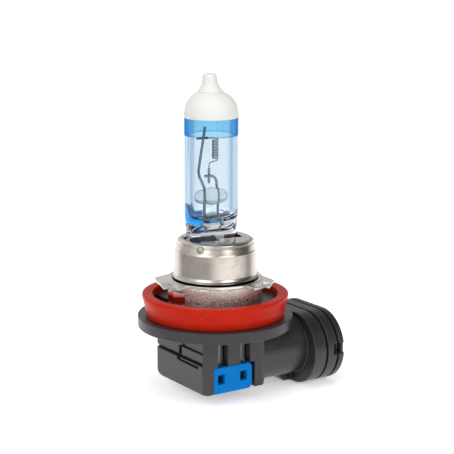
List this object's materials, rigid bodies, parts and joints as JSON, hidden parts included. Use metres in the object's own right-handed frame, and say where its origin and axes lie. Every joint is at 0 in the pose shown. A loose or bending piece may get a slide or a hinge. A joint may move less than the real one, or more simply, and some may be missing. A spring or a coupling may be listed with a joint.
{
  "type": "halogen headlight bulb",
  "caption": "Halogen headlight bulb: coated glass tube with an axial filament, metal holder with bayonet lugs, red sealing ring, black base with a side socket.",
  "frame": {"origin": "on the lamp axis, in the reference plane made by the undersides of the bayonet lugs", "axes": "+Z along the lamp axis towards the exhaust tip, +X out through the mouth of the connector socket, and the coloured terminal insert on the -Y side"},
  "size_m": [0.0378, 0.0296, 0.0612],
  "materials": {
    "tube_glass": "polished clear quartz with a light blue tint",
    "bridge_glass": "fire-polished clear glass",
    "opaque_coat": "opaque white coat, satin",
    "filter_coat": "transparent blue filter coat",
    "tungsten": "drawn tungsten wire",
    "support_metal": "drawn molybdenum wire",
    "foil_metal": "etched molybdenum foil",
    "clip_steel": "dark spring steel",
    "cap_metal": "drawn nickel-plated steel, satin",
    "lug_metal": "stamped nickel-plated steel",
    "ring_metal": "rough sintered steel, granular",
    "key_metal": "polished steel",
    "red_silicone": "soft moulded silicone",
    "black_plastic": "glass-filled moulding, satin",
    "blue_plastic": "smooth moulding",
    "contact_metal": "tin-plated brass strip"
  },
  "bodies": {
    "root": {"glass_envelope": "tube_glass", "antiglare_coat": "opaque_coat", "blue_filter_band": "filter_coat", "filament": "tungsten", "filament_clamp": "clip_steel", "leg_sleeve": "support_metal", "long_support": "support_metal", "short_support": "support_metal", "glass_bridge": "bridge_glass", "left_foil": "foil_metal", "right_foil": "foil_metal", "left_outer_lead": "foil_metal", "right_outer_lead": "foil_metal", "pinch_clip": "clip_steel", "cap_shell": "cap_metal", "cap_weld_spots": "key_metal", "lug_plate": "lug_metal", "locating_ring": "ring_metal", "keying_block": "key_metal", "gasket": "red_silicone", "base_housing": "black_plastic", "terminal_insert": "blue_plastic", "far_contact": "contact_metal", "near_contact": "contact_metal"}
  },
  "joints": []
}
